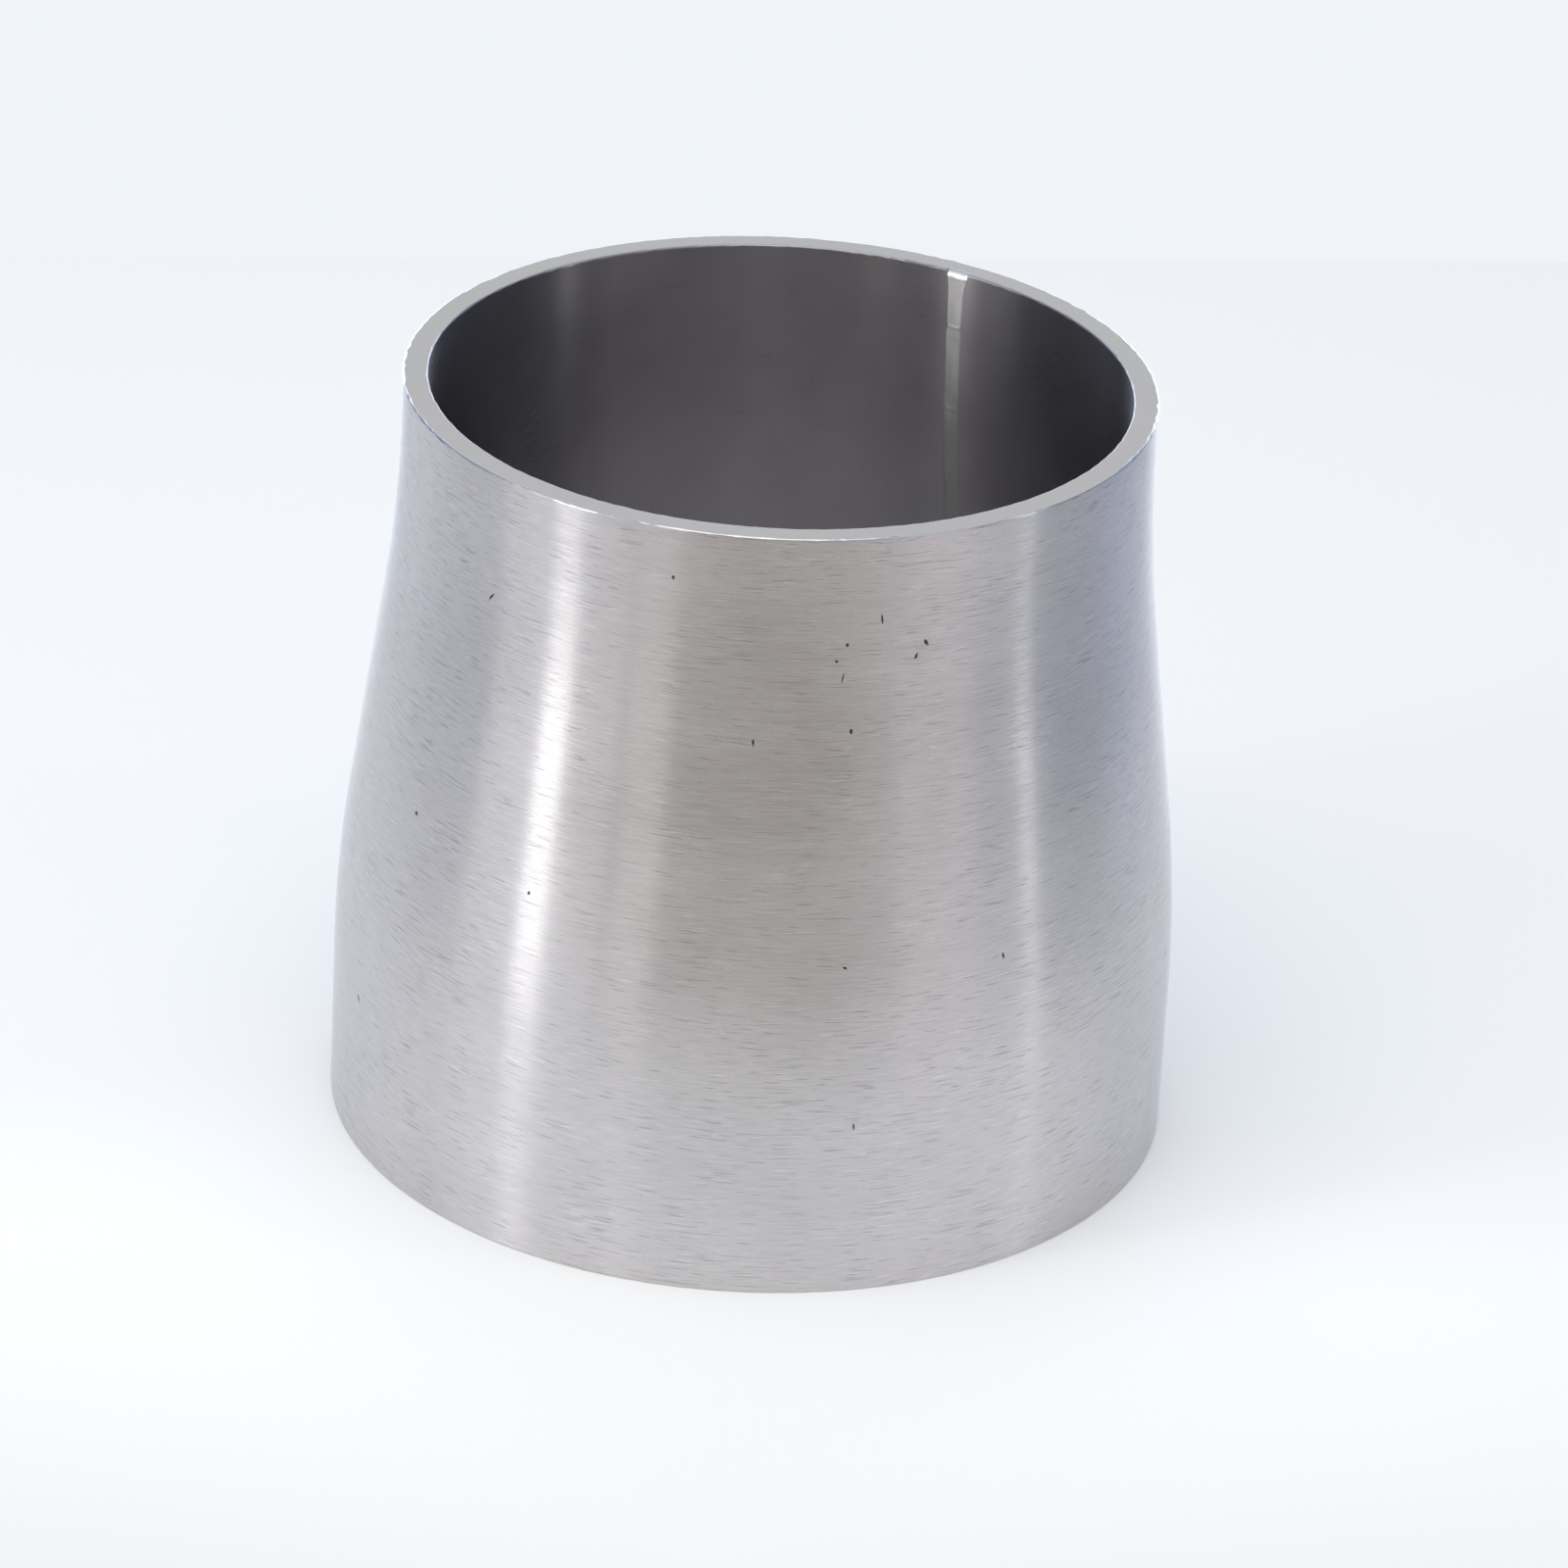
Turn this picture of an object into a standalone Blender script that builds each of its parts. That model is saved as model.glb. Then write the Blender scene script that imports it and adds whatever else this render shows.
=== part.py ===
"""Concentric butt-weld reducer: an ogee shell rolled from plate and closed by one seam weld.

Units are metres and +Z is up. The origin is the centre of the large end's face, +Z runs
along the pipe axis to the small end, and the seam faces +Y.
"""

from math import asin, atan2, cos, hypot, pi, radians, sin

import bmesh
import bpy
from mathutils import Vector

OBJECT_NAME = "concentric_reducer"

# Pipe sizes that the two ends are welded to.
LARGE_RADIUS = 0.1016 / 2
SMALL_RADIUS = 0.0889 / 2
WALL = 0.0030
LENGTH = 0.0940

# The wall's outer line: a straight end, an arc, a straight cone, an arc and a straight end.
LARGE_TANGENT = 0.0190
SMALL_TANGENT = 0.0040
LARGE_ARC = 0.1600
SMALL_ARC = 0.1850
ARC_STEPS = 4

# The longitudinal seam: weld metal between the plate's edges, ground flush outside.
WELD_WIDTH = 0.0024
WELD_ROOT = 0.00025
GAP = 0.0003

# Facets round the axis: a multiple of four, so a corner lies on each horizontal axis.
TURN_STEPS = 96
MERGE_DISTANCE = 0.00001
SMOOTH_ANGLE = radians(30)
CUTTER_MARGIN = 0.010


def cone_half_angle():
    """Angle between the pipe axis and the straight cone that touches both arcs."""
    run = LENGTH - LARGE_TANGENT - SMALL_TANGENT
    radii = LARGE_ARC + SMALL_ARC
    across = radii - (LARGE_RADIUS - SMALL_RADIUS)
    return asin(radii / hypot(run, across)) - atan2(across, run)


def wall_line(inset):
    """Points (radius, height) up the wall, a fixed distance inside its outer face."""
    angle = cone_half_angle()
    turns = [angle * step / ARC_STEPS for step in range(ARC_STEPS + 1)]
    large_centre = LARGE_RADIUS - LARGE_ARC
    small_centre = SMALL_RADIUS + SMALL_ARC
    line = [(LARGE_RADIUS - inset, 0.0)]
    for turn in turns:
        reach = LARGE_ARC - inset
        line.append((large_centre + reach * cos(turn), LARGE_TANGENT + reach * sin(turn)))
    for turn in reversed(turns):
        reach = SMALL_ARC + inset
        line.append((small_centre - reach * cos(turn), LENGTH - SMALL_TANGENT - reach * sin(turn)))
    line.append((SMALL_RADIUS - inset, LENGTH))
    return line


def new_collection(name):
    """Make a collection and link it to the scene."""
    collection = bpy.data.collections.new(name)
    bpy.context.scene.collection.children.link(collection)
    return collection


def steel(name, colour, roughness):
    """Bare stainless steel."""
    material = bpy.data.materials.new(name)
    material.use_nodes = True
    shader = material.node_tree.nodes["Principled BSDF"]
    shader.inputs["Base Color"].default_value = (*colour, 1.0)
    shader.inputs["Metallic"].default_value = 1.0
    shader.inputs["Roughness"].default_value = roughness
    return material


def turned_wall(name, inset, collection, material):
    """A wall turned about +Z, from its outer face to the given distance inside it."""
    outline = list(reversed(wall_line(0.0))) + wall_line(inset)
    mesh = bpy.data.meshes.new(name)
    shape = bmesh.new()
    corners = [shape.verts.new((radius, 0.0, height)) for radius, height in outline]
    for start, end in zip(corners, corners[1:] + corners[:1]):
        shape.edges.new((start, end))
    shape.to_mesh(mesh)
    shape.free()
    mesh.materials.append(material)

    wall = bpy.data.objects.new(name, mesh)
    collection.objects.link(wall)
    screw = wall.modifiers.new("turn", "SCREW")
    screw.axis = "Z"
    screw.angle = 2 * pi
    screw.steps = TURN_STEPS
    screw.render_steps = TURN_STEPS
    screw.use_merge_vertices = True
    screw.merge_threshold = MERGE_DISTANCE
    return wall


def seam_cutter(name, width, collection):
    """A box round the seam line, taller and deeper than the wall there."""
    inner = SMALL_RADIUS - CUTTER_MARGIN
    outer = LARGE_RADIUS + CUTTER_MARGIN
    size = Vector((width, outer - inner, LENGTH + 2 * CUTTER_MARGIN))
    mesh = bpy.data.meshes.new(name)
    shape = bmesh.new()
    bmesh.ops.create_cube(shape, size=1.0)
    bmesh.ops.scale(shape, vec=size, verts=shape.verts)
    shape.to_mesh(mesh)
    shape.free()

    cutter = bpy.data.objects.new(name, mesh)
    cutter.location = (0.0, (inner + outer) / 2, LENGTH / 2)
    cutter.hide_render = True
    cutter.display_type = "WIRE"
    collection.objects.link(cutter)
    return cutter


def add_boolean(target, cutter, operation):
    """Cut the target with a cutter, or keep what the two share."""
    boolean = target.modifiers.new(operation.lower(), "BOOLEAN")
    boolean.operation = operation
    boolean.solver = "EXACT"
    boolean.object = cutter


def shade_by_angle(piece):
    """Smooth shading on the turned faces, with the rims and the cut edges left crisp."""
    piece.data.shade_smooth()
    piece.data.set_sharp_from_angle(angle=SMOOTH_ANGLE)


def make_shell(parts, cutters):
    """The rolled shell: one ogee wall, open along the seam."""
    material = steel("brushed_stainless", (0.62, 0.61, 0.60), 0.34)
    shell = turned_wall("reducer_shell", WALL, parts, material)
    slot = seam_cutter("seam_slot", WELD_WIDTH + 2 * GAP, cutters)
    add_boolean(shell, slot, "DIFFERENCE")
    shade_by_angle(shell)


def make_weld(parts, cutters):
    """The seam weld: the same wall with a proud root inside, kept only in the slot."""
    material = steel("weld_metal", (0.66, 0.65, 0.63), 0.30)
    weld = turned_wall("seam_weld", WALL + WELD_ROOT, parts, material)
    band = seam_cutter("weld_band", WELD_WIDTH, cutters)
    add_boolean(weld, band, "INTERSECT")
    shade_by_angle(weld)


def main():
    for leftover in list(bpy.data.objects):
        bpy.data.objects.remove(leftover, do_unlink=True)
    parts = new_collection(OBJECT_NAME)
    cutters = new_collection("cutters")
    make_shell(parts, cutters)
    make_weld(parts, cutters)


main()
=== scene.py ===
from math import asin, atan2, cos, exp, hypot, pi, radians, sin

import bpy
from mathutils import Matrix, Vector, noise


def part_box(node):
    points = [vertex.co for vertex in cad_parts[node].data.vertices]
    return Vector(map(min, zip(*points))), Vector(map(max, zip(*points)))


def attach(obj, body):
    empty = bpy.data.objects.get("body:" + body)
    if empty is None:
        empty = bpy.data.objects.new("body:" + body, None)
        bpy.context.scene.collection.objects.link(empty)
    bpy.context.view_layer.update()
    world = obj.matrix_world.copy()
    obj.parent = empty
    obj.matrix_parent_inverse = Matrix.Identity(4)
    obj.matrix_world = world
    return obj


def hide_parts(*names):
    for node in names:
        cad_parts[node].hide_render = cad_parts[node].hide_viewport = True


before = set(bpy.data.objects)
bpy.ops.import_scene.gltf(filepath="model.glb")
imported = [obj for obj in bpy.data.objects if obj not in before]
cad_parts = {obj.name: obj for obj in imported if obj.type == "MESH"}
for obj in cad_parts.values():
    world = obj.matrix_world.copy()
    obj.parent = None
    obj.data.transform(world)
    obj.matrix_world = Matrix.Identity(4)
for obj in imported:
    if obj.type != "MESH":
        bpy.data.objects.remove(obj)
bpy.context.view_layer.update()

MM = 0.001
SHELL_NODE = "reducer_shell"
WELD_NODE = "seam_weld"

# ------------------------------------------------------------ values: shape

# The ogee's two straight ends and two arcs, as in the CAD.
LARGE_TANGENT = 19.0 * MM
SMALL_TANGENT = 4.0 * MM
LARGE_ARC = 160.0 * MM
SMALL_ARC = 185.0 * MM
SAME_HEIGHT = 0.1 * MM

# Mesh steps: columns round the axis, rows along the wall's section.
COLUMNS = 576
WELD_COLUMNS = 16
WALL_ROWS = 64
ROOT_ROWS = 420
RIM_ROWS = 5
CORNER_STEPS = 4
EDGE_SUPPORT = 0.12 * MM
SMOOTH_ANGLE = radians(35)

# Broken edges: how far the corner is rounded, and how unevenly.
OUTER_BREAK = 0.22 * MM
INNER_BREAK = 0.20 * MM
WELD_BREAK = 0.70 * MM
BREAK_UNEVEN = 0.80
BREAK_PERIOD = 1.6 * MM

# The formed wall is never quite round or straight.
DENT_DEPTH = 0.07 * MM
DENT_PERIOD = 26.0 * MM

# The weld: wider at its face than at its root, with wandering toes that flare at the ends.
WELD_FACE_HALF = 1.35 * MM
WELD_ROOT_HALF = 1.0 * MM
TOE_WANDER = 0.14 * MM
TOE_PERIOD = 3.0 * MM
ROOT_FLARE = 0.5 * MM
FLARE_REACH = 1.8 * MM

# The weld's root: dressed nearly flush, with fine ripples and a freeze line at each stop.
ROOT_DRESSED = 0.015 * MM
TOE_SQUARENESS = 8
RIPPLE_PERIOD = 1.1 * MM
RIPPLE_HEIGHT = 0.003 * MM
RIPPLE_BOW = 0.25 * MM
PUDDLE_PERIOD = 9.0 * MM
PUDDLE_WANDER = 3.0 * MM
PUDDLE_SEED = 3.0
FREEZE_LINE_WIDTH = 0.18 * MM
FREEZE_LINE_HEIGHT = 0.05 * MM

# ------------------------------------------------------------ values: metal

# The three finishes of the wall, in the order of a piece's material slots.
FINISHES = ("brushed", "cut", "bore")

BRUSHED_DARK = (0.475, 0.460, 0.466)
BRUSHED_LIGHT = (0.705, 0.683, 0.692)
CUT_DARK = (0.400, 0.367, 0.328)
CUT_LIGHT = (0.521, 0.478, 0.432)
BORE_DARK = (0.285, 0.271, 0.287)
BORE_LIGHT = (0.405, 0.384, 0.407)
# The weld's root runs from its dark tone to its light one. Over its top it is painted towards the light
# tone as a painted highlight.
WELD_DARK = (0.35, 0.345, 0.345)
WELD_LIGHT = (0.62, 0.61, 0.595)

# The weld's root is painted lighter over this length below the top: a painted highlight.
PAINTED_HIGHLIGHT_REACH = 26.0 * MM

# Scratches: how strongly they keep to groups, and how soft their edges are.
SCRATCH_GROUPING = 0.25
SCRATCH_SOFTNESS = 0.08

# Nicks: their scale, the size and depth of their ragged outlines, and where the edge fades.
NICK_COLOUR = (0.06, 0.055, 0.055)
NICK_SCALE = 0.62
NICK_RAGGED_SIZE = 0.5 * MM
NICK_RAGGED = 0.9
NICK_INSIDE = 0.9
NICK_OUTSIDE = 1.6

# Each nick: degrees round from -Y, height, length and width in mm, lean in degrees.
NICKS = (
    (-15.5, 79.0, 1.2, 0.30, -40.0),
    (15.5, 88.0, 0.5, 0.40, 0.0),
    (46.5, 84.0, 1.2, 0.26, 8.0),
    (41.5, 81.0, 0.5, 0.40, 0.0),
    (40.0, 79.0, 0.3, 0.40, 0.0),
    (53.5, 80.5, 0.8, 0.40, 35.0),
    (52.0, 79.0, 0.8, 0.34, -20.0),
    (41.0, 77.0, 1.2, 0.20, -12.0),
    (42.5, 70.5, 0.8, 0.36, 0.0),
    (28.5, 69.0, 0.9, 0.30, 8.0),
    (-26.0, 48.5, 0.6, 0.50, 70.0),
    (-2.5, 46.0, 0.4, 0.32, 0.0),
    (66.0, 40.5, 0.9, 0.28, 10.0),
    (42.5, 42.0, 0.5, 0.28, 60.0),
    (-36.5, 20.0, 1.0, 0.36, 30.0),
    (44.5, 22.0, 0.9, 0.24, 5.0),
    (120.0, 55.0, 0.9, 0.30, 20.0),
    (150.0, 70.0, 0.7, 0.34, -30.0),
    (215.0, 30.0, 1.0, 0.30, 10.0),
    (250.0, 66.0, 0.8, 0.32, 45.0),
)

# ------------------------------------------------------------ values: camera and studio

VIEW_AZIMUTH = 29.7
VIEW_ELEVATION = 26.455
VIEW_DISTANCE = 928.9 * MM
VIEW_ROLL = 3.065
AIM_RIGHT = 2.8 * MM
AIM_HEIGHT = 41.3 * MM
FOCAL_LENGTH = 177.25
SENSOR_WIDTH = 36.0

# The surround: what the camera sees, and the light from each side of the object.
BACKDROP = (0.871, 0.905, 0.947)
BEHIND = (2.14, 2.39, 2.80)
REAR_SIDE = (0.37, 0.435, 0.60)
BESIDE = (0.385, 0.420, 0.490)
SHADE = (0.275, 0.310, 0.375)
SHADE_TURN = 101.0
SHOULDER = (0.53, 0.500, 0.475)
BEFORE = (0.360, 0.325, 0.268)
CEILING = (0.66, 0.725, 0.82)

# The table top: how far it reaches from the object's axis, and its turn to the camera.
FLOOR_FRONT = 0.20
FLOOR_BACK = 0.261
FLOOR_RIGHT = 0.20
FLOOR_LEFT = 0.30
FLOOR_TURN = 7.6
FLOOR_ROUGHNESS = 0.9

# Its colour: a bluer painted shade close to the object, its own colour farther out, and a dimmer painted
# shade in the two front corners.
FLOOR = (0.892, 0.877, 0.845)
FLOOR_PAINTED_SHADE_CLOSE = (0.880, 0.880, 0.868)
CLOSE_NEAR = 60.0 * MM
CLOSE_FAR = 140.0 * MM
FLOOR_PAINTED_SHADE_CORNER = (0.815, 0.800, 0.772)
CORNER_NEAR = 100.0 * MM
CORNER_FAR = 200.0 * MM

# Its glow, which softens the shadow: strongest right before the object, and gone farther out.
GLOW_BESIDE = 0.105
GLOW_BEFORE = 0.175
GLOW_NEAR = 60.0 * MM
GLOW_FAR = 200.0 * MM

TOP_LIGHT_TURN = -15.0
TOP_LIGHT_ELEVATION = 77.0
TOP_LIGHT_DISTANCE = 0.75
TOP_LIGHT_SIZE = 0.45
TOP_LIGHT_POWER = 1.35
TOP_LIGHT_COLOUR = (1.0, 0.955, 0.89)

# Softboxes: degrees right of the camera, distance, width, height, power, colour.
LAMP_BOTTOM = 0.02
SOFTBOXES = (
    ("window", -59.4, 0.9, 0.125, 0.7, 1.2, (1.0, 1.0, 1.0)),
    ("window_spill", -71.0, 0.9, 0.34, 0.7, 0.75, (1.0, 1.0, 1.0)),
    ("window_glow", -47.0, 0.9, 0.22, 0.7, 0.24, (1.0, 1.0, 1.0)),
    ("left_edge", -31.5, 0.9, 0.18, 0.7, 0.24, (1.0, 0.98, 0.93)),
    ("right_card", 49.0, 0.9, 0.36, 0.7, 0.24, (1.0, 0.82, 0.95)),
    ("right_strip", 77.0, 0.9, 0.08, 0.7, 0.36, (1.0, 1.0, 1.0)),
)

UP = Vector((0.0, 0.0, 1.0))

# ------------------------------------------------------------ the wall's shape, from the frame


def ring_at(node, height):
    """Smallest and largest radius of a CAD node's corners at one height."""
    corners = [vertex.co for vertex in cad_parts[node].data.vertices]
    radii = [hypot(corner.x, corner.y) for corner in corners if abs(corner.z - height) < SAME_HEIGHT]
    return min(radii), max(radii)


def cone_half_angle():
    """Angle between the pipe axis and the straight cone that touches both arcs."""
    run = LENGTH - LARGE_TANGENT - SMALL_TANGENT
    radii = LARGE_ARC + SMALL_ARC
    across = radii - (LARGE_RADIUS - SMALL_RADIUS)
    return asin(radii / hypot(run, across)) - atan2(across, run)


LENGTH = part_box(SHELL_NODE)[1].z
LARGE_RADIUS = ring_at(SHELL_NODE, 0.0)[1]
BORE_RADIUS, SMALL_RADIUS = ring_at(SHELL_NODE, LENGTH)
WALL = SMALL_RADIUS - BORE_RADIUS
MEAN_RADIUS = (LARGE_RADIUS + SMALL_RADIUS) / 2
CONE_ANGLE = cone_half_angle()
CONE_SLOPE = sin(CONE_ANGLE) / cos(CONE_ANGLE)


def wall_radius(height, inset):
    """Radius of the surface that lies a fixed distance inside the wall's outer face."""
    large_reach = LARGE_ARC - inset
    small_reach = SMALL_ARC + inset
    up = height - LARGE_TANGENT
    down = LENGTH - SMALL_TANGENT - height
    if up <= 0:
        return LARGE_RADIUS - inset
    if down <= 0:
        return SMALL_RADIUS - inset
    if up <= large_reach * sin(CONE_ANGLE):
        return LARGE_RADIUS - LARGE_ARC + (large_reach**2 - up**2) ** 0.5
    if down <= small_reach * sin(CONE_ANGLE):
        return SMALL_RADIUS + SMALL_ARC - (small_reach**2 - down**2) ** 0.5
    cone_start = LARGE_RADIUS - LARGE_ARC + large_reach * cos(CONE_ANGLE)
    return cone_start - (up - large_reach * sin(CONE_ANGLE)) * CONE_SLOPE


# ------------------------------------------------------------ fine shape of the real metal


def uneven(turn, seed):
    """A smooth random value from -1 to 1 along a rim."""
    reach = MEAN_RADIUS / BREAK_PERIOD
    return noise.noise(Vector((cos(turn) * reach, sin(turn) * reach, seed)))


def dent(turn, height):
    """How far the wall is pushed in by the forming, from 0 to DENT_DEPTH."""
    reach = MEAN_RADIUS / DENT_PERIOD
    spot = Vector((cos(turn) * reach, sin(turn) * reach, height / DENT_PERIOD))
    return DENT_DEPTH * (0.5 + 0.5 * noise.noise(spot))


def even_rows(low, high, count):
    """Values from low to high in even rows, with one more close to each end."""
    first = low + EDGE_SUPPORT
    step = (high - low - 2 * EDGE_SUPPORT) / count
    return [low, *(first + step * row for row in range(count + 1)), high]


def wall_outline(outer_break, inner_break, bore_rows):
    """Points (height, inset) round the wall's section, and the finish from each to the next."""
    turns = [pi / 2 * step / CORNER_STEPS for step in range(1, CORNER_STEPS + 1)]
    outside = even_rows(outer_break, LENGTH - outer_break, WALL_ROWS)
    flat = even_rows(outer_break, WALL - inner_break, RIM_ROWS)
    bore = even_rows(inner_break, LENGTH - inner_break, bore_rows)
    inner = WALL - inner_break

    # Quarter turns round the four broken edges, as (distance from the end, inset).
    top_outer = [(outer_break * (1 - sin(turn)), outer_break * (1 - cos(turn))) for turn in turns]
    top_inner = [(inner_break * (1 - cos(turn)), inner + inner_break * sin(turn)) for turn in turns]
    bottom_inner = [(inner_break * (1 - sin(turn)), inner + inner_break * cos(turn)) for turn in turns]
    bottom_outer = [(outer_break * (1 - cos(turn)), outer_break * (1 - sin(turn))) for turn in turns]

    # Up outside, over the rim, down inside, and back under the wall.
    stretches = (
        ("brushed", [(height, 0.0) for height in outside]),
        ("brushed", [(LENGTH - below, inset) for below, inset in top_outer]),
        ("cut", [(LENGTH, inset) for inset in flat[1:]]),
        ("bore", [(LENGTH - below, inset) for below, inset in top_inner]),
        ("bore", [(height, WALL) for height in reversed(bore[:-1])]),
        ("bore", bottom_inner),
        ("cut", [(0.0, inset) for inset in reversed(flat[:-1])]),
        ("brushed", bottom_outer[:-1]),
    )
    outline = [point for finish, points in stretches for point in points]

    # These finishes lead to each point, so they move on by one to lead from it.
    reached = [finish for finish, points in stretches for point in points]
    return outline, reached[1:] + reached[:1]


def seam_turn(height, inset):
    """Half the angle that the weld takes up, at one point of the wall's section."""
    from_end = min(height, LENGTH - height)
    root_half = WELD_ROOT_HALF + ROOT_FLARE * exp(-from_end / FLARE_REACH)
    root_half += TOE_WANDER * noise.noise(Vector((0.0, 0.0, height / TOE_PERIOD)))
    half = WELD_FACE_HALF + (root_half - WELD_FACE_HALF) * inset / WALL
    return half / wall_radius(height, inset)


def root_bead(share, height):
    """How far the weld's root stands proud of the bore: a flat band with bowed freeze lines."""
    crown = 1 - abs(share) ** TOE_SQUARENESS
    bowed = height + RIPPLE_BOW * (1 - share**2)
    ripple = sin(2 * pi * bowed / RIPPLE_PERIOD)
    wander = PUDDLE_WANDER * noise.noise(Vector((PUDDLE_SEED, 0.0, bowed / PUDDLE_PERIOD)))
    from_line = abs((bowed + wander) % PUDDLE_PERIOD - PUDDLE_PERIOD / 2)
    freeze_line = exp(-((from_line / FREEZE_LINE_WIDTH) ** 2))
    end_ramp = 1 - exp(-min(height, LENGTH - height) / FLARE_REACH)
    return end_ramp * crown * (ROOT_DRESSED + RIPPLE_HEIGHT * ripple + FREEZE_LINE_HEIGHT * freeze_line)


def wall_piece(name, columns, is_weld):
    """One closed piece of the wall: the plate all round from toe to toe, or the weld between."""
    bore_rows = ROOT_ROWS if is_weld else WALL_ROWS
    bore_break = WELD_BREAK if is_weld else INNER_BREAK
    corners = []
    for column in range(columns + 1):
        share = column / columns
        across = 2 * share - 1
        turn = 0.0 if is_weld else 2 * pi * share
        outer_break = OUTER_BREAK * (1 + BREAK_UNEVEN * uneven(turn, seed=1.0))
        inner_break = bore_break * (1 + BREAK_UNEVEN * uneven(turn, seed=2.0))
        outline, finishes = wall_outline(outer_break, inner_break, bore_rows)
        for (height, inset), finish in zip(outline, finishes):
            toe = seam_turn(height, inset)
            angle = across * toe if is_weld else toe + (2 * pi - 2 * toe) * share
            radius = wall_radius(height, inset) - dent(angle, height)
            if is_weld and finish == "bore":
                radius -= root_bead(across, height)
            corners.append((-radius * sin(angle), radius * cos(angle), height))
    return build_grid(name, corners, finishes, columns)


def build_grid(name, corners, finishes, columns):
    """A mesh from columns of corners, each a closed outline, with its two ends filled."""
    rows = len(finishes)
    faces = []
    unrolled = []
    for column in range(columns):
        for row in range(rows):
            near = column * rows
            far = near + rows
            above = (row + 1) % rows
            faces.append((near + row, far + row, far + above, near + above))
            left, right = column / columns, (column + 1) / columns
            low, high = row / rows, (row + 1) / rows
            unrolled += [(left, low), (right, low), (right, high), (left, high)]
    faces.append(tuple(range(rows)))
    faces.append(tuple(reversed(range(columns * rows, (columns + 1) * rows))))
    unrolled += [(0.0, row / rows) for row in range(rows)]
    unrolled += [(1.0, row / rows) for row in reversed(range(rows))]

    mesh = bpy.data.meshes.new(name)
    mesh.from_pydata(corners, [], faces)
    slots = [FINISHES.index(finish) for finish in finishes] * columns
    mesh.polygons.foreach_set("material_index", slots + [FINISHES.index("cut")] * 2)
    layer = mesh.uv_layers.new(name="OFBake")
    layer.uv.foreach_set("vector", [value for corner in unrolled for value in corner])
    mesh.shade_smooth()
    mesh.set_sharp_from_angle(angle=SMOOTH_ANGLE)
    piece = bpy.data.objects.new(name, mesh)
    bpy.context.scene.collection.objects.link(piece)
    return piece


# ------------------------------------------------------------ node trees


class Graph:
    """Short calls for building a node tree."""

    # A Mix node has sockets for numbers and vectors too, so its colour sockets go by number.
    MIX_SHARE = 0
    MIX_LOW = 6
    MIX_HIGH = 7
    MIX_RESULT = 2

    def __init__(self, tree):
        self.tree = tree

    def node(self, kind, inputs=None, **settings):
        """Add a node, set its properties, and feed its inputs with values or other sockets."""
        made = self.tree.nodes.new("ShaderNode" + kind)
        for key, value in settings.items():
            setattr(made, key, value)
        for key, value in (inputs or {}).items():
            self.feed(made.inputs[key], value)
        return made

    def feed(self, socket, value):
        """Link a socket to another one, or set its own value."""
        if isinstance(value, bpy.types.NodeSocket):
            self.tree.links.new(value, socket)
        else:
            socket.default_value = value

    def math(self, operation, *values):
        """One Math node's result."""
        return self.node("Math", dict(enumerate(values)), operation=operation).outputs["Value"]

    def reach(self, place, direction):
        """How far a place lies in one direction."""
        made = self.node("VectorMath", {0: place, 1: direction}, operation="DOT_PRODUCT")
        return made.outputs["Value"]

    def distance(self, place):
        """How far a place is from the origin."""
        return self.node("VectorMath", {0: place}, operation="LENGTH").outputs["Value"]

    def spread(self, value, low, high, to_low=0.0, to_high=1.0):
        """Carry a value smoothly from the range low..high to to_low..to_high."""
        inputs = {"Value": value, "From Min": low, "From Max": high, "To Min": to_low, "To Max": to_high}
        return self.node("MapRange", inputs, interpolation_type="SMOOTHSTEP").outputs["Result"]

    def blend(self, share, low, high):
        """A colour between two others, each a colour value or a socket."""
        made = self.node("Mix", {self.MIX_SHARE: share}, data_type="RGBA")
        self.feed(made.inputs[self.MIX_LOW], (*low, 1.0) if isinstance(low, tuple) else low)
        self.feed(made.inputs[self.MIX_HIGH], (*high, 1.0) if isinstance(high, tuple) else high)
        return made.outputs[self.MIX_RESULT]


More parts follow.
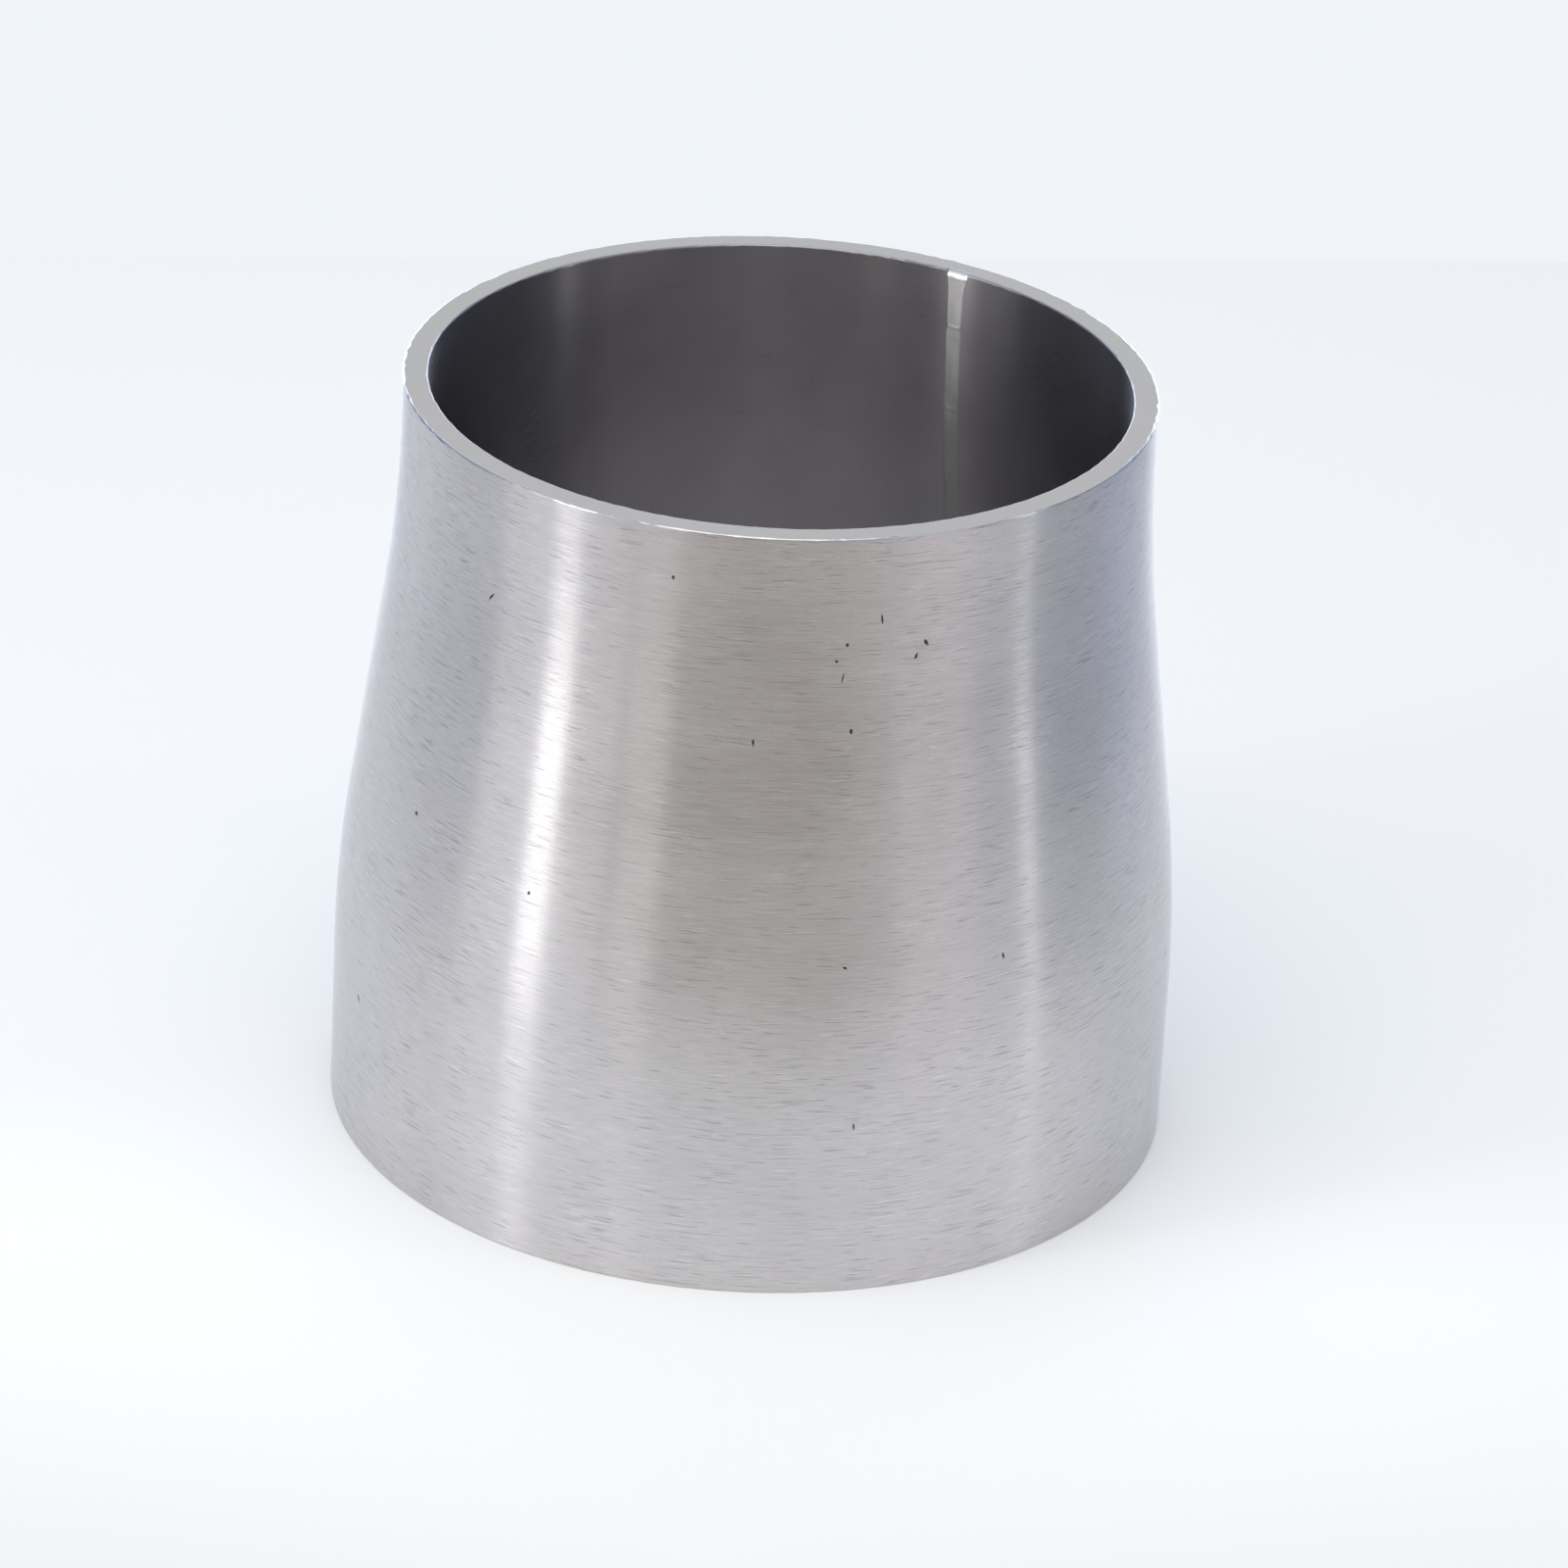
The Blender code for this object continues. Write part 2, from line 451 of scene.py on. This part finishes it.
class Metal(Graph):
    """A steel surface, in coordinates that run round the pipe and along it."""

    def __init__(self, name):
        self.material = bpy.data.materials.new(name)
        self.material.use_nodes = True
        super().__init__(self.material.node_tree)
        self.shader = self.tree.nodes["Principled BSDF"]
        self.shader.inputs["Metallic"].default_value = 1.0
        self.place = self.node("TexCoord").outputs["Object"]
        parts = self.node("SeparateXYZ", {"Vector": self.place}).outputs
        backward = self.math("MULTIPLY", parts["Y"], -1.0)
        turn = self.math("ARCTAN2", parts["X"], backward)
        self.around = self.math("MULTIPLY", turn, MEAN_RADIUS)
        self.height = parts["Z"]

    def marks(self, length, width, seed, slope=0.0, detail=2.0):
        """Noise in marks of one length round the pipe and one width along it, about 0.5."""
        climb = self.math("MULTIPLY_ADD", self.around, slope, self.height)
        along = self.math("DIVIDE", self.around, length)
        across = self.math("DIVIDE", climb, width)
        spot = self.node("CombineXYZ", {"X": along, "Y": across, "Z": seed}).outputs["Vector"]
        inputs = {"Vector": spot, "Scale": 1.0, "Detail": detail, "Roughness": 0.6}
        return self.node("TexNoise", inputs).outputs["Fac"]

    def clouds(self, size, seed, detail=3.0):
        """Noise with no direction, about 0.5."""
        shifted = {"Vector": self.place, "Location": (seed, seed, seed)}
        spot = self.node("Mapping", shifted).outputs["Vector"]
        inputs = {"Vector": spot, "Scale": 1 / size, "Detail": detail, "Roughness": 0.55}
        return self.node("TexNoise", inputs).outputs["Fac"]

    def total(self, base, weights):
        """A base value plus several signals about 0.5, in (signal, weight) pairs."""
        for signal, weight in weights:
            centred = self.math("SUBTRACT", signal, 0.5)
            base = self.math("MULTIPLY_ADD", centred, weight, base)
        return base

    def overlay(self, base, weights):
        """A base value plus several masks from 0 to 1, in (mask, weight) pairs."""
        for mask, weight in weights:
            base = self.math("MULTIPLY_ADD", mask, weight, base)
        return base

    def stretch_up_the_pipe(self):
        """Draw highlights out along the pipe, as scratches that run round it do."""
        inputs = {0: UP, 1: self.place}
        round_axis = self.node("VectorMath", inputs, operation="CROSS_PRODUCT")
        self.feed(self.shader.inputs["Tangent"], round_axis.outputs["Vector"])
        self.shader.inputs["Anisotropic"].default_value = 1.0
        self.shader.inputs["Anisotropic Rotation"].default_value = 0.25

    def oil(self, weight, roughness):
        """A thin film of oil, which shines where the surface is seen at a slant."""
        self.shader.inputs["Coat Weight"].default_value = weight
        self.shader.inputs["Coat Roughness"].default_value = roughness

    def finish(self, colour, roughness, relief, depth):
        """Feed the shader with its colour, its roughness and its surface relief."""
        self.feed(self.shader.inputs["Base Color"], colour)
        self.feed(self.shader.inputs["Roughness"], roughness)
        bump = self.node("Bump", {"Height": relief, "Distance": depth, "Strength": 1.0})
        self.feed(self.shader.inputs["Normal"], bump.outputs["Normal"])
        return self.material


# ------------------------------------------------------------ materials


def nick_mask(metal):
    """1 inside the small nicks, 0 elsewhere."""
    nearest = None
    spot = metal.node("CombineXYZ", {"X": metal.around, "Y": metal.height}).outputs["Vector"]
    for turn, height, length, width, lean in NICKS:
        degrees = (turn + 180) % 360 - 180
        inputs = {
            "Vector": spot,
            "Location": (radians(degrees) * MEAN_RADIUS, height * MM, 0.0),
            "Rotation": (0.0, 0.0, radians(lean)),
            "Scale": (width * MM * NICK_SCALE, length * MM * NICK_SCALE, 1.0),
        }
        local = metal.node("Mapping", inputs, vector_type="TEXTURE").outputs["Vector"]
        away = metal.distance(local)
        nearest = away if nearest is None else metal.math("MINIMUM", nearest, away)
    ragged = metal.clouds(size=NICK_RAGGED_SIZE, seed=3.0, detail=1.0)
    edge = metal.overlay(nearest, [(ragged, NICK_RAGGED)])
    return metal.spread(edge, low=NICK_INSIDE, high=NICK_OUTSIDE, to_low=1.0, to_high=0.0)


def scratches(metal, patches, length, width, seed, slope, rarity):
    """1 along scattered scratches, which come in groups, and 0 elsewhere."""
    lines = metal.marks(length=length, width=width, seed=seed, slope=slope, detail=1.0)
    grouped = metal.total(lines, [(patches, SCRATCH_GROUPING)])
    return metal.spread(grouped, low=rarity, high=rarity + SCRATCH_SOFTNESS)


def brushed_steel():
    """The outside: bright stainless brushed round the pipe, with stray scratches and nicks."""
    metal = Metal("brushed_stainless_outside")
    grain = metal.marks(length=5.0 * MM, width=0.22 * MM, seed=1.0, slope=0.010)
    crossed = metal.marks(length=3.0 * MM, width=0.26 * MM, seed=2.0, slope=-0.025)
    lanes = metal.marks(length=80.0 * MM, width=1.8 * MM, seed=3.0)
    clouds = metal.clouds(size=14.0 * MM, seed=4.0)
    patches = metal.clouds(size=7.0 * MM, seed=5.0)
    dark = scratches(
        metal, patches, length=4.0 * MM, width=0.26 * MM, seed=6.0, slope=0.020, rarity=0.62
    )
    long_dark = scratches(
        metal, patches, length=12.0 * MM, width=0.26 * MM, seed=7.0, slope=-0.015, rarity=0.70
    )
    bright = scratches(
        metal, patches, length=4.0 * MM, width=0.28 * MM, seed=8.0, slope=-0.030, rarity=0.64
    )
    nicks = nick_mask(metal)

    tone = metal.total(base=0.60, weights=[(grain, 0.55), (crossed, 0.45), (lanes, 0.3), (clouds, 0.6)])
    tone = metal.overlay(tone, weights=[(bright, 0.35), (dark, -0.65), (long_dark, -0.9)])
    colour = metal.blend(tone, BRUSHED_DARK, BRUSHED_LIGHT)
    colour = metal.blend(nicks, colour, NICK_COLOUR)
    worn = [(grain, 0.12), (crossed, -0.10), (lanes, 0.04), (clouds, 0.05)]
    roughness = metal.total(base=0.25, weights=worn)
    relief = metal.total(base=0.5, weights=[(grain, 1.0), (crossed, 0.8)])
    relief = metal.overlay(relief, weights=[(dark, -1.0), (nicks, -6.0)])
    metal.stretch_up_the_pipe()
    return metal.finish(colour, roughness, relief, depth=0.005 * MM)


def cut_steel():
    """The square-cut ends: matte, with fine tool marks round the rim."""
    metal = Metal("cut_rim")
    rings = metal.marks(length=40.0 * MM, width=1.0, seed=1.0)
    grain = metal.clouds(size=0.35 * MM, seed=2.0)
    patches = metal.clouds(size=5.0 * MM, seed=3.0)
    tone = metal.total(base=0.5, weights=[(rings, 0.3), (grain, 0.9), (patches, 0.8)])
    colour = metal.blend(tone, CUT_DARK, CUT_LIGHT)
    roughness = metal.total(base=0.60, weights=[(grain, 0.12), (patches, 0.14)])
    relief = metal.total(base=0.5, weights=[(grain, 1.0), (rings, 0.5)])
    return metal.finish(colour, roughness, relief, depth=0.008 * MM)


def bore_steel():
    """The bore: polished round the pipe, with gentle waves and a thin film of oil."""
    metal = Metal("polished_bore")
    grain = metal.marks(length=14.0 * MM, width=0.45 * MM, seed=1.0)
    waves = metal.marks(length=9.0 * MM, width=30.0 * MM, seed=2.0)
    clouds = metal.clouds(size=12.0 * MM, seed=3.0)
    tone = metal.total(base=0.5, weights=[(grain, 0.12), (waves, 0.6), (clouds, 0.7)])
    colour = metal.blend(tone, BORE_DARK, BORE_LIGHT)
    roughness = metal.total(base=0.285, weights=[(grain, 0.03), (clouds, 0.05)])
    relief = metal.total(base=0.5, weights=[(clouds, 3.0), (waves, 3.0)])
    metal.oil(weight=0.5, roughness=0.55)
    metal.stretch_up_the_pipe()
    return metal.finish(colour, roughness, relief, depth=0.002 * MM)


def weld_steel():
    """The weld's root: brighter than the bore, with a painted highlight towards the top, and faintly
    rippled.
    """
    metal = Metal("weld_root")
    ripples = metal.marks(length=4.0 * MM, width=0.5 * MM, seed=1.0)
    grain = metal.clouds(size=0.3 * MM, seed=2.0)
    puddles = metal.marks(length=30.0 * MM, width=6.0 * MM, seed=3.0)
    # Painted highlight: the root's colour rises towards the light tone over the top of the weld, most at
    # the top end.
    end_ramp = metal.spread(metal.height, low=LENGTH - PAINTED_HIGHLIGHT_REACH, high=LENGTH)
    tone = metal.total(end_ramp, weights=[(ripples, 0.3), (grain, 0.3), (puddles, 0.8)])
    colour = metal.blend(tone, WELD_DARK, WELD_LIGHT)
    roughness = metal.total(base=0.30, weights=[(ripples, 0.05), (grain, 0.05), (puddles, 0.06)])
    relief = metal.total(base=0.5, weights=[(ripples, 1.0), (grain, 0.5)])
    metal.stretch_up_the_pipe()
    return metal.finish(colour, roughness, relief, depth=0.003 * MM)


# ------------------------------------------------------------ the object


def add_shell(brushed, cut):
    """The rolled and pressed plate."""
    shell = wall_piece("reducer_wall", COLUMNS, is_weld=False)
    for material in (brushed, cut, bore_steel()):
        shell.data.materials.append(material)
    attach(shell, "root")
    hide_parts(SHELL_NODE)


def add_weld(brushed, cut):
    """The seam weld, which fills the gap between the plate's edges."""
    weld = wall_piece("seam_weld_bead", WELD_COLUMNS, is_weld=True)
    for material in (brushed, cut, weld_steel()):
        weld.data.materials.append(material)
    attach(weld, "root")
    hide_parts(WELD_NODE)


# ------------------------------------------------------------ camera and studio


def level_direction(turn):
    """A level direction, in degrees to the right of the camera as the camera sees it."""
    azimuth = radians(VIEW_AZIMUTH + turn)
    return Vector((sin(azimuth), -cos(azimuth), 0.0))


def raised_direction(turn, elevation):
    """A direction that many degrees to the right of the camera, and above the table."""
    tilt = radians(elevation)
    return level_direction(turn) * cos(tilt) + UP * sin(tilt)


def add_camera():
    """The camera, aimed at the middle of the fitting and rolled a little."""
    back = raised_direction(0.0, VIEW_ELEVATION)
    right = UP.cross(back).normalized()
    aim = right * AIM_RIGHT + UP * AIM_HEIGHT
    facing = Matrix((right, back.cross(right), back)).transposed()
    rolled = facing @ Matrix.Rotation(radians(VIEW_ROLL), 3, "Z")
    lens = bpy.data.cameras.new("camera")
    lens.lens = FOCAL_LENGTH
    lens.sensor_width = SENSOR_WIDTH
    camera = bpy.data.objects.new("camera", lens)
    camera.matrix_world = Matrix.Translation(aim + back * VIEW_DISTANCE) @ rolled.to_4x4()
    bpy.context.scene.collection.objects.link(camera)
    bpy.context.scene.camera = camera


def place_lamp(lamp, place, outward):
    """Put a lamp at a place, facing the object, where the camera doesn't see it."""
    box = bpy.data.objects.new(lamp.name, lamp)
    box.location = place
    box.rotation_euler = outward.to_track_quat("Z", "Y").to_euler()
    box.visible_camera = False
    bpy.context.scene.collection.objects.link(box)


def add_softbox(name, turn, distance, width, height, power, colour):
    """An upright soft light, whose reflection is a band along the metal."""
    lamp = bpy.data.lights.new(name, "AREA")
    lamp.shape = "RECTANGLE"
    lamp.size = width
    lamp.size_y = height
    lamp.energy = power
    lamp.color = colour
    outward = level_direction(turn)
    place_lamp(lamp, outward * distance + UP * (LAMP_BOTTOM + height / 2), outward)


def add_top_light():
    """A broad soft light above the camera's side, which throws the shadow back and right."""
    lamp = bpy.data.lights.new("top_light", "AREA")
    lamp.size = TOP_LIGHT_SIZE
    lamp.energy = TOP_LIGHT_POWER
    lamp.color = TOP_LIGHT_COLOUR
    outward = raised_direction(TOP_LIGHT_TURN, TOP_LIGHT_ELEVATION)
    place_lamp(lamp, outward * TOP_LIGHT_DISTANCE, outward)


def floor_material(forward, right):
    """Matt white, with a bluer painted shade by the object and a dimmer painted shade in the front
    corners, and a faint glow.
    """
    material = bpy.data.materials.new("floor")
    material.use_nodes = True
    shader = material.node_tree.nodes["Principled BSDF"]
    shader.inputs["Roughness"].default_value = FLOOR_ROUGHNESS
    shader.inputs["Specular IOR Level"].default_value = 0.0
    shader.inputs["Emission Color"].default_value = (*FLOOR, 1.0)

    graph = Graph(material.node_tree)
    place = graph.node("TexCoord").outputs["Object"]
    before = graph.reach(place, forward)
    aside = graph.math("ABSOLUTE", graph.reach(place, right))
    # Painted shade: the floor is tinted bluer close to the object, where its shadow falls, and dimmed in
    # the two front corners.
    farther = graph.spread(graph.distance(place), low=CLOSE_NEAR, high=CLOSE_FAR)
    corner = graph.spread(graph.math("ADD", before, aside), low=CORNER_NEAR, high=CORNER_FAR)
    colour = graph.blend(farther, FLOOR_PAINTED_SHADE_CLOSE, FLOOR)
    graph.feed(shader.inputs["Base Color"], graph.blend(corner, colour, FLOOR_PAINTED_SHADE_CORNER))

    glow = graph.spread(before, low=0.0, high=LARGE_RADIUS, to_low=GLOW_BESIDE, to_high=GLOW_BEFORE)
    kept = graph.spread(before, low=GLOW_NEAR, high=GLOW_FAR, to_low=1.0, to_high=0.0)
    graph.feed(shader.inputs["Emission Strength"], graph.math("MULTIPLY", glow, kept))
    return material


def add_floor():
    """A plain pale table top, with its rear edge just in view."""
    forward = level_direction(0.0)
    right = level_direction(90.0)
    sides = (
        (FLOOR_FRONT, FLOOR_RIGHT),
        (-FLOOR_BACK, FLOOR_RIGHT),
        (-FLOOR_BACK, -FLOOR_LEFT),
        (FLOOR_FRONT, -FLOOR_LEFT),
    )
    turn = Matrix.Rotation(radians(FLOOR_TURN), 3, "Z")
    corners = [turn @ (forward * reach + right * side) for reach, side in sides]
    mesh = bpy.data.meshes.new("floor")
    mesh.from_pydata(corners, [], [tuple(range(len(corners)))])
    mesh.materials.append(floor_material(forward, right))
    floor = bpy.data.objects.new("floor", mesh)
    bpy.context.scene.collection.objects.link(floor)


def add_surround():
    """Soft light from all round, dim at the sides; the camera sees a pale backdrop."""
    world = bpy.data.worlds.new("studio")
    bpy.context.scene.world = world
    world.use_nodes = True
    graph = Graph(world.node_tree)
    direction = graph.node("TexCoord").outputs["Generated"]
    facing = graph.reach(direction, level_direction(0.0))
    shaded = graph.reach(direction, level_direction(SHADE_TURN))
    upward = graph.reach(direction, UP)
    light = graph.blend(graph.spread(facing, low=0.0, high=0.7), BESIDE, SHOULDER)
    light = graph.blend(graph.spread(facing, low=0.75, high=1.0), light, BEFORE)
    light = graph.blend(graph.spread(facing, low=-0.20, high=-0.55), light, REAR_SIDE)
    light = graph.blend(graph.spread(facing, low=-0.76, high=-0.92), light, BEHIND)
    light = graph.blend(graph.spread(shaded, low=0.95, high=0.975), light, SHADE)
    light = graph.blend(graph.spread(upward, low=0.40, high=0.70), light, CEILING)
    seen = graph.node("LightPath").outputs["Is Camera Ray"]
    background = world.node_tree.nodes["Background"]
    graph.feed(background.inputs["Color"], graph.blend(seen, light, BACKDROP))


# ------------------------------------------------------------ the scene

brushed = brushed_steel()
cut = cut_steel()
add_shell(brushed, cut)
add_weld(brushed, cut)

add_camera()
for softbox in SOFTBOXES:
    add_softbox(*softbox)
add_top_light()
add_floor()
add_surround()
bpy.context.scene.view_settings.view_transform = "Standard"
